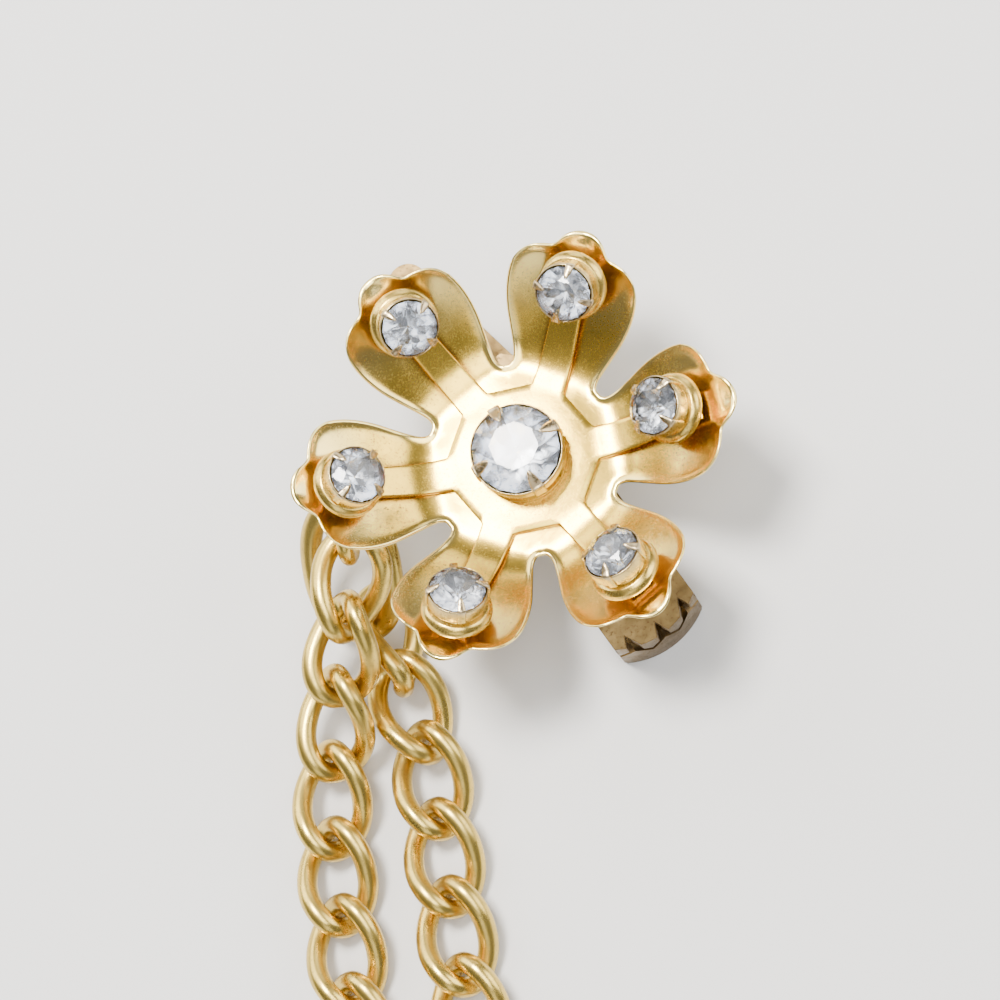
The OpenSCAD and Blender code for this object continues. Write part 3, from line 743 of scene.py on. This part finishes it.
# %% Cut the star
star_mesh = new_mesh("star_plate", np.column_stack([star_flat, star_height]) * MM, star_faces)
star_plate = run_tree(linked("star_plate", star_mesh), ring_tree,
                      {**SIX_ROUND, "Material": star_gold})
star_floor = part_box("star")[0].z - STAR_SUNK
for vertex in star_plate.data.vertices:
    vertex.co.z += star_floor
applied(star_plate, [("SOLIDIFY", {"thickness": STAR_SHEET * MM, "offset": -1.0,
                                   "use_even_offset": True}),
                     worn_round(STAR_EDGE * MM, 3, 55)])
dress(star_plate, "flower", "gold_plate", "star")

# %% [markdown]
# ## The clip
# The two halves of the clip and the pin have the right shape in the packed
# model, but their edges are perfectly sharp, which real sheet never is. A copy
# of each is welded, its flat faces are joined up, and a small bevel rounds
# every edge, so that the light finds them.

# %% Soften copies of the sheet pieces
CLIP_EDGE = 0.12 * MM
PIN_EDGE = 0.1 * MM
CLIP_WELD = 0.002 * MM
FLAT_ANGLE = math.radians(1.5)


def softened(name, source, width):
    mesh = frame["nodes"][source].data.copy()
    shape = bmesh.new()
    shape.from_mesh(mesh)
    bmesh.ops.remove_doubles(shape, verts=shape.verts, dist=CLIP_WELD)
    bmesh.ops.dissolve_limit(shape, angle_limit=FLAT_ANGLE, verts=shape.verts,
                             edges=shape.edges)
    shape.to_mesh(mesh)
    shape.free()
    mesh.shade_smooth()
    mesh.materials.clear()
    mesh.materials.append(clip_gold)
    return applied(linked(name, mesh), [worn_round(width), EVEN_SHADING])


dress(softened("clip_back", "clip_plate", CLIP_EDGE), "flower", "clip_metal", "clip_plate")
dress(softened("clip_lever", "clip_jaw", CLIP_EDGE), "jaw", "clip_metal", "clip_jaw")
dress(softened("clip_pin", "hinge_pin", PIN_EDGE), "flower", "clip_metal", "hinge_pin")

# %% [markdown]
# ## Seats of the stones
# Every stone leans towards the middle on its petal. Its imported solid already
# says how: the points of a round stone spread least along its own axis, and the
# widest points are its girdle. The seat found from them places the stone, its
# cup and its prongs at once.

# %% Find each seat
# Points farther out than this share of the widest one are the girdle's
GIRDLE_FROM = 0.97


def main_axes(source):
    """Middle of a node's points and its axes, from the widest spread to the narrowest."""
    points = np.array([v.co for v in frame["nodes"][source].data.vertices])
    points = np.unique(points.round(7), axis=0)
    middle = points.mean(0)
    return points, middle, np.linalg.svd(points - middle, full_matrices=False)[2]


def seat(source, outward):
    """Frame of a stone: girdle's middle, x the way that outward points, z up its axis."""
    points, middle, axes = main_axes(source)
    axis = axes[2] * (1 if axes[2][2] > 0 else -1)
    up = (points - middle) @ axis
    reach = np.linalg.norm(points - middle - up[:, None] * axis, axis=1)
    girdle = reach > GIRDLE_FROM * reach.max()
    centre = middle + up[girdle].mean() * axis
    x = np.array(outward) - np.dot(outward, axis) * axis
    x /= np.linalg.norm(x)
    y = np.cross(axis, x)
    matrix = Matrix([[x[i], y[i], axis[i], centre[i]] for i in range(3)] + [[0, 0, 0, 1]])
    return matrix, reach.max()


def at_seat(number, kind):
    """Name of what sits at a seat: number 0 is the middle one, the others are the petals'."""
    return f"petal_{kind}_{number}" if number else f"center_{kind}"


seats = {0: seat("center_stone", (1, 0, 0))}
for number in range(1, PETAL_COUNT + 1):
    turn = FIRST_PETAL_TURN + (number - 1) * 2 * math.pi / PETAL_COUNT
    seats[number] = seat(at_seat(number, "stone"), (math.cos(turn), math.sin(turn), 0))
print("stone radii in mm", [round(r / MM, 2) for _, r in seats.values()])

# %% [markdown]
# ## The stones
# A round stone is cut with a flat table, eight kite facets with small ones
# between them, a thin girdle and a pointed back. Facets are planes between a
# few rings of points, so the whole stone is the hull of those rings, and flat
# shading keeps each facet crisp.

# %% Cut a stone
# Sizes are shares of the stone's radius
MAINS = 8
TABLE = 0.56
CROWN = 0.34
BREAK_OUT = 0.8
BREAK_UP = 0.215
GIRDLE = 0.035
BACK_OUT = 0.45
BACK_DOWN = 0.5
CULET = 0.82
GREY_BAND = 0.25
STONE_TURN = 0.2


def cut_stone(name, radius, matrix, turn):
    def ring(count, out, up, offset=0.0):
        return [(out * math.cos(turn + 2 * math.pi * (k + offset) / count),
                 out * math.sin(turn + 2 * math.pi * (k + offset) / count), up)
                for k in range(count)]

    rings = (ring(MAINS, TABLE, CROWN) + ring(MAINS, BREAK_OUT, BREAK_UP, 0.5)
             + ring(2 * MAINS, 1.0, GIRDLE) + ring(2 * MAINS, 1.0, -GIRDLE)
             + ring(MAINS, BACK_OUT, -BACK_DOWN, 0.5) + [(0, 0, -CULET)])
    shape = bmesh.new()
    for point in rings:
        shape.verts.new(Vector(point) * radius)
    hull = bmesh.ops.convex_hull(shape, input=shape.verts)
    bmesh.ops.delete(shape, geom=[g for g in hull["geom_interior"] if g.is_valid], context="VERTS")
    bmesh.ops.dissolve_limit(shape, angle_limit=math.radians(1.0), verts=shape.verts,
                             edges=shape.edges)
    bmesh.ops.recalc_face_normals(shape, faces=shape.faces)
    for face in shape.faces:
        face.smooth = False
        face.material_index = 1 if face.calc_center_median().z < -GIRDLE * radius else 0
    mesh = bpy.data.meshes.new(name)
    shape.to_mesh(mesh)
    shape.free()
    heights = np.array([v.co.z for v in mesh.vertices]) / radius
    keep_values(mesh, "girdle", np.clip(1 - np.abs(heights + GIRDLE) / GREY_BAND, 0, 1))
    mesh.transform(matrix)
    mesh.materials.append(crystal_glass)
    mesh.materials.append(silver_foil)
    return linked(name, mesh)


for number, (matrix, radius) in seats.items():
    stone = cut_stone(at_seat(number, "crystal"), radius, matrix, STONE_TURN * number)
    dress(stone, "flower", "crystal", at_seat(number, "stone"))

# %% [markdown]
# ## Cups and prongs
# A cup is turned from sheet: a wide bright foot, a dark groove, and a band that
# stands up round the stone. A lathe gives that from a half outline. Four prongs
# are cut from the band and bent over the stone's edge, so one prong is drawn as
# a tapering strip along a bent line, and a tree sets four of them round the cup.

# %% Outline of a cup
LATHE_STEPS = 72
CUP_EDGE = 0.02 * MM
WORN_DEPTH = 0.3 * MM
PRONG_COUNT = 4
# Turn of the prongs in each cup, in degrees: the middle one, then petals 1 to 6
PRONG_TURNS = (30, 38, 88, 18, 44, 30, 48)


def cup_outline(radius, depth, foot):
    """Half outline of a cup, with its girdle at height 0 and its foot at -depth."""
    rim_out = radius + 0.17 * MM
    inside = radius + 0.08 * MM
    waist = 0.92 * radius
    return [
        (0, -depth), (foot - 0.15 * MM, -depth), (foot - 0.03 * MM, -0.96 * depth),
        (foot, -0.88 * depth), (foot - 0.05 * MM, -0.78 * depth),
        (foot - 0.19 * MM, -0.69 * depth), ((foot + waist) / 2, -0.64 * depth),
        (waist + 0.04 * MM, -0.62 * depth), (waist, -0.6 * depth), (waist, -0.55 * depth),
        (rim_out - 0.05 * MM, -0.47 * depth), (rim_out, -0.4 * depth), (rim_out, -0.12 * MM),
        (rim_out - 0.04 * MM, -0.05 * MM), (inside, -0.05 * MM), (inside, -0.22 * MM),
        (0.25 * radius, -0.8 * radius), (0, -0.8 * radius),
    ]


def turned_mesh(name, outline):
    """Closed mesh turned round the upright axis from a half outline."""
    points, faces = [], []
    inner = outline[1:-1]
    for k in range(LATHE_STEPS):
        angle = 2 * math.pi * k / LATHE_STEPS
        points += [(r * math.cos(angle), r * math.sin(angle), z) for r, z in inner]
    low, high = len(points), len(points) + 1
    points += [(0, 0, outline[0][1]), (0, 0, outline[-1][1])]
    size = len(inner)
    for k in range(LATHE_STEPS):
        a, b = k * size, (k + 1) % LATHE_STEPS * size
        faces += [(a + i, b + i, b + i + 1, a + i + 1) for i in range(size - 1)]
        faces += [(low, b, a), (high, a + size - 1, b + size - 1)]
    return new_mesh(name, points, faces)


# %% One prong
def prong_mesh(radius, depth):
    """Strip that climbs the cup's band at +x and bends in over the stone."""
    sheet = 0.17 * MM
    out = radius + 0.2 * MM
    slope = (CROWN - GIRDLE) / (1 - TABLE)
    clear = 0.13 * MM
    line = [(out, -0.45 * depth), (out, -0.3 * depth), (out, -0.1 * MM),
            (out - 0.02 * MM, (GIRDLE + 0.03) * radius),
            (radius + 0.06 * MM, GIRDLE * radius + clear)]
    for share in (0.93, 0.84, 0.75, 0.66):
        line.append((share * radius, (GIRDLE + slope * (1 - share)) * radius + clear))
    line = through(np.array(line), 3)
    half = np.interp(np.linspace(0, 1, len(line)), (0, 0.45, 0.7, 0.93, 1),
                     np.array((0.15, 0.145, 0.12, 0.06, 0.02)) * radius)
    thick = np.interp(np.linspace(0, 1, len(line)), (0, 0.85, 1), (sheet, sheet, 0.5 * sheet)) / 2
    along = np.gradient(line, axis=0)
    along /= np.linalg.norm(along, axis=1)[:, None]
    points, faces = [], []
    corners = ((-1, -0.5), (-0.75, -1), (0.75, -1), (1, -0.5),
               (1, 0.5), (0.75, 1), (-0.75, 1), (-1, 0.5))
    for (r, z), (dr, dz), h, t in zip(line, along, half, thick):
        points += [(r + v * t * dz, u * h, z - v * t * dr) for u, v in corners]
    size = len(corners)
    for a in range(0, len(points) - size, size):
        faces += [(a + j, a + (j + 1) % size, a + size + (j + 1) % size, a + size + j)
                  for j in range(size)]
    faces += [tuple(range(size))[::-1], tuple(range(len(points) - size, len(points)))]
    mesh = new_mesh("prong", points, faces)
    shape = bmesh.new()
    shape.from_mesh(mesh)
    bmesh.ops.recalc_face_normals(shape, faces=shape.faces)
    shape.to_mesh(mesh)
    shape.free()
    return mesh


# %% A tree that sets prongs round a cup
cup_tree, given, result = geometry_tree(
    "prongs_on_cup", [("Prong", "Object"), ("Count", "Int"), ("First Turn", "Float"),
                      ("Material", "Material")])
prong = node(cup_tree, "GeometryNodeObjectInfo", Object=given.outputs["Prong"])
copies = turned_copies(cup_tree, given, prong.outputs["Geometry"])
joined = cup_tree.nodes.new("GeometryNodeJoinGeometry")
cup_tree.links.new(given.outputs["Mesh"], joined.inputs["Geometry"])
cup_tree.links.new(copies, joined.inputs["Geometry"])
finished(cup_tree, given, result, joined.outputs["Geometry"])


# %% Turn the cups
def make_cup(name, source, matrix, radius, turn):
    to_seat = matrix.inverted()
    packed = [to_seat @ v.co for v in frame["nodes"][source].data.vertices]
    depth = -min(p.z for p in packed)
    foot = max(math.hypot(p.x, p.y) for p in packed if p.z < -0.8 * depth)
    cup = linked(name, turned_mesh(name, cup_outline(radius, depth, foot)))
    applied(cup, [worn_round(CUP_EDGE, 2, 20)])
    prong_piece = linked("prong", prong_mesh(radius, depth))
    run_tree(cup, cup_tree, {"Prong": prong_piece, "Count": PRONG_COUNT, "First Turn": turn,
                             "Material": cup_gold}, [EVEN_SHADING])
    bpy.data.objects.remove(prong_piece)
    x, y, height = np.array([v.co for v in cup.data.vertices]).T
    worn = np.clip((height + WORN_DEPTH) / WORN_DEPTH, 0, 1)
    keep_values(cup.data, "worn", worn * (np.hypot(x, y) > 0.5 * radius))
    cup.data.transform(matrix)
    return cup


for number, (matrix, radius) in seats.items():
    source = at_seat(number, "setting")
    cup = make_cup(at_seat(number, "cup"), source, matrix, radius,
                   math.radians(PRONG_TURNS[number]))
    dress(cup, "flower", "setting_metal", source)

# %% [markdown]
# ## The chain
# Each link is a closed oval of round wire whose two ends are twisted apart, so
# that the strand lies flat. A tree draws that oval from its half length, half
# width and twist, sweeps the wire along it, and sets a copy on every point of
# the strand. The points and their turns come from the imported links: the three
# directions in which a link spreads are its own axes.

# %% A tree that makes linked ovals
link_tree, given, result = geometry_tree(
    "oval_links", [("Half Length", "Float"), ("Half Width", "Float"), ("Twist", "Float"),
                   ("Wire Radius", "Float"), ("Stations", "Int"), ("Sides", "Int"),
                   ("Material", "Material")])
ROUND_OFF = 0.85
# No point may fall just where a sine is 0 and so has no sign
SMALL_SHIFT = 0.001


def signed_power(tree, value, power):
    size = calculate(tree, "POWER", calculate(tree, "ABSOLUTE", value), power)
    return times(tree, size, calculate(tree, "SIGN", value))


way_round = link_tree.nodes.new("GeometryNodeSplineParameter").outputs["Factor"]
angle = times(link_tree, calculate(link_tree, "ADD", way_round, SMALL_SHIFT), 2 * math.pi)
share = signed_power(link_tree, calculate(link_tree, "COSINE", angle), ROUND_OFF)
lengthways = times(link_tree, share, given.outputs["Half Length"])
sideways = signed_power(link_tree, calculate(link_tree, "SINE", angle), ROUND_OFF)
sideways = times(link_tree, sideways, given.outputs["Half Width"])
twisted = times(link_tree, share, given.outputs["Twist"])
line_point = node(link_tree, "ShaderNodeCombineXYZ", Y=lengthways,
                  X=times(link_tree, sideways, calculate(link_tree, "COSINE", twisted)),
                  Z=times(link_tree, sideways, calculate(link_tree, "SINE", twisted)))
oval = node(link_tree, "GeometryNodeCurvePrimitiveCircle", Resolution=given.outputs["Stations"])
shaped = node(link_tree, "GeometryNodeSetPosition", Geometry=oval.outputs["Curve"],
              Position=line_point.outputs["Vector"])
wire = swept_wire(link_tree, given, shaped.outputs["Geometry"])
stored = link_tree.nodes.new("GeometryNodeInputNamedAttribute")
stored.data_type = "FLOAT_VECTOR"
stored.inputs["Name"].default_value = "turn"
vector_out = next(s for s in stored.outputs if s.enabled and s.name == "Attribute")
turned = node(link_tree, "FunctionNodeEulerToRotation", Euler=vector_out)
copies = node(link_tree, "GeometryNodeInstanceOnPoints", Points=given.outputs["Mesh"],
              Instance=wire, Rotation=turned.outputs["Rotation"])
finished(link_tree, given, result, copies.outputs["Instances"])


# %% Thread the strands
def link_place(source):
    """Middle of a packed link and the turn that lays an oval drawn along y on it."""
    middle, axes = main_axes(source)[1:]
    lengthwise, crosswise = axes[0], axes[1]
    upright = np.cross(crosswise, lengthwise)
    turn = Matrix([[crosswise[i], lengthwise[i], upright[i]] for i in range(3)])
    return middle, turn.to_euler()


def strand(name, sources, sizes):
    places = [link_place(s) for s in sources]
    mesh = new_mesh(name, [middle for middle, _ in places], [])
    turns = mesh.attributes.new("turn", "FLOAT_VECTOR", "POINT")
    turns.data.foreach_set("vector", np.array([tuple(t) for _, t in places]).ravel())
    piece = run_tree(linked(name, mesh), link_tree,
                     {**sizes, "Stations": 72, "Sides": 20, "Material": chain_gold})
    return dress(piece, "flower", "chain_gold", *sources)


LINK = {"Half Length": 3.52 * MM, "Half Width": 2.1 * MM, "Twist": math.radians(50),
        "Wire Radius": 0.72 * MM}
RING = {"Half Length": 4.9 * MM, "Half Width": 2.85 * MM, "Twist": 0.0,
        "Wire Radius": 0.78 * MM}
strand("left_strand", [f"left_link_{k}" for k in range(1, 8)], LINK)
strand("right_strand", [f"right_link_{k}" for k in range(1, 7)], LINK)
strand("oval_ring", ["large_ring"], RING)

# %% [markdown]
# ## Loop and spring
# The loop under the petal and the coil spring on the pin are both one wire bent
# along a path. The path is worked out as points, and one more tree turns the
# points into a curve and sweeps a round wire along it. The spring's two legs
# move apart when the clip opens, but here the coil is wound once and does not
# move with them.

# %% A tree that sweeps a wire along points
wire_tree, given, result = geometry_tree(
    "bent_wire", [("Wire Radius", "Float"), ("Sides", "Int"), ("Material", "Material")])
path = node(wire_tree, "GeometryNodeMeshToCurve", Mesh=given.outputs["Mesh"])
wire = swept_wire(wire_tree, given, path.outputs["Curve"], Fill_Caps=True)
finished(wire_tree, given, result, wire)


def bent_wire(name, points, closed, wire_radius, material):
    count = len(points)
    edges = [(i, (i + 1) % count) for i in range(count if closed else count - 1)]
    piece = linked(name, new_mesh(name, points, [], edges))
    return run_tree(piece, wire_tree, {"Wire Radius": wire_radius, "Sides": 16,
                                       "Material": material})


# %% Bend the hanging loop
LOOP_MIDDLE = Vector((-12.11, -4.08, 8.32)) * MM
LOOP_TURN = math.radians(-85.7)
LOOP_BEND = 1.7 * MM
LOOP_STRAIGHT = 1.8 * MM
LOOP_WIRE = 0.55 * MM
LOOP_STEPS = 64
SOLDER_RADIUS = 0.75 * MM
SOLDER_UP = LOOP_BEND + 0.25 * MM
loop_turn = Matrix.Rotation(LOOP_TURN, 3, "Z")
loop_points = []
for step in range(LOOP_STEPS):
    angle = 2 * math.pi * (step + 0.5) / LOOP_STEPS
    straight = math.copysign(LOOP_STRAIGHT / 2, math.cos(angle))
    flat = Vector((LOOP_BEND * math.cos(angle) + straight, 0, LOOP_BEND * math.sin(angle)))
    loop_points.append(LOOP_MIDDLE + loop_turn @ flat)
loop = bent_wire("hanging_loop", loop_points, True, LOOP_WIRE, chain_gold)
solder = bmesh.new()
solder.from_mesh(loop.data)
bmesh.ops.create_icosphere(solder, subdivisions=4, radius=SOLDER_RADIUS,
                           matrix=Matrix.Translation(LOOP_MIDDLE + Vector((0, 0, SOLDER_UP))))
for face in solder.faces:
    face.smooth = True
solder.to_mesh(loop.data)
solder.free()
dress(loop, "flower", "chain_gold", "hang_loop")

# %% Wind the spring
hinge = frame["joints"][0]
pin_middle = Vector(hinge["pos_m"])
pin_axis = Vector(hinge["axis"]).normalized()
forward = pin_axis.cross(Vector((0, 0, 1)))
COIL_RADIUS = 0.91 * MM
COIL_HALF = 0.88 * MM
COIL_TURNS = 4.5
COIL_STEPS = 144
SPRING_WIRE = 0.22 * MM
LEG_BACK = 2.05 * MM
UPPER_LEG = 2.5 * MM
LOWER_LEG = -3.08 * MM
LEG_SHARES = (0.15, 0.4, 0.7, 1)


def on_clip(front, side, up):
    return pin_middle + forward * front + pin_axis * side + Vector((0, 0, up))


def leg(side, start, end):
    """Points of a leg from the coil outwards, with its heights at the coil and at its end."""
    return [on_clip(-LEG_BACK * t, side, start + (end - start) * t) for t in LEG_SHARES]


spring_points = leg(-COIL_HALF, COIL_RADIUS, UPPER_LEG)[::-1]
for step in range(COIL_STEPS + 1):
    share = step / COIL_STEPS
    angle = 2 * math.pi * COIL_TURNS * share
    spring_points.append(on_clip(COIL_RADIUS * math.sin(angle), COIL_HALF * (2 * share - 1),
                                 COIL_RADIUS * math.cos(angle)))
spring_points += leg(COIL_HALF, -COIL_RADIUS, LOWER_LEG)
spring = bent_wire("coil_spring", spring_points, False, SPRING_WIRE, spring_steel)
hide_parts("clip_spring")
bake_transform(spring)
print("spring points", len(spring_points))
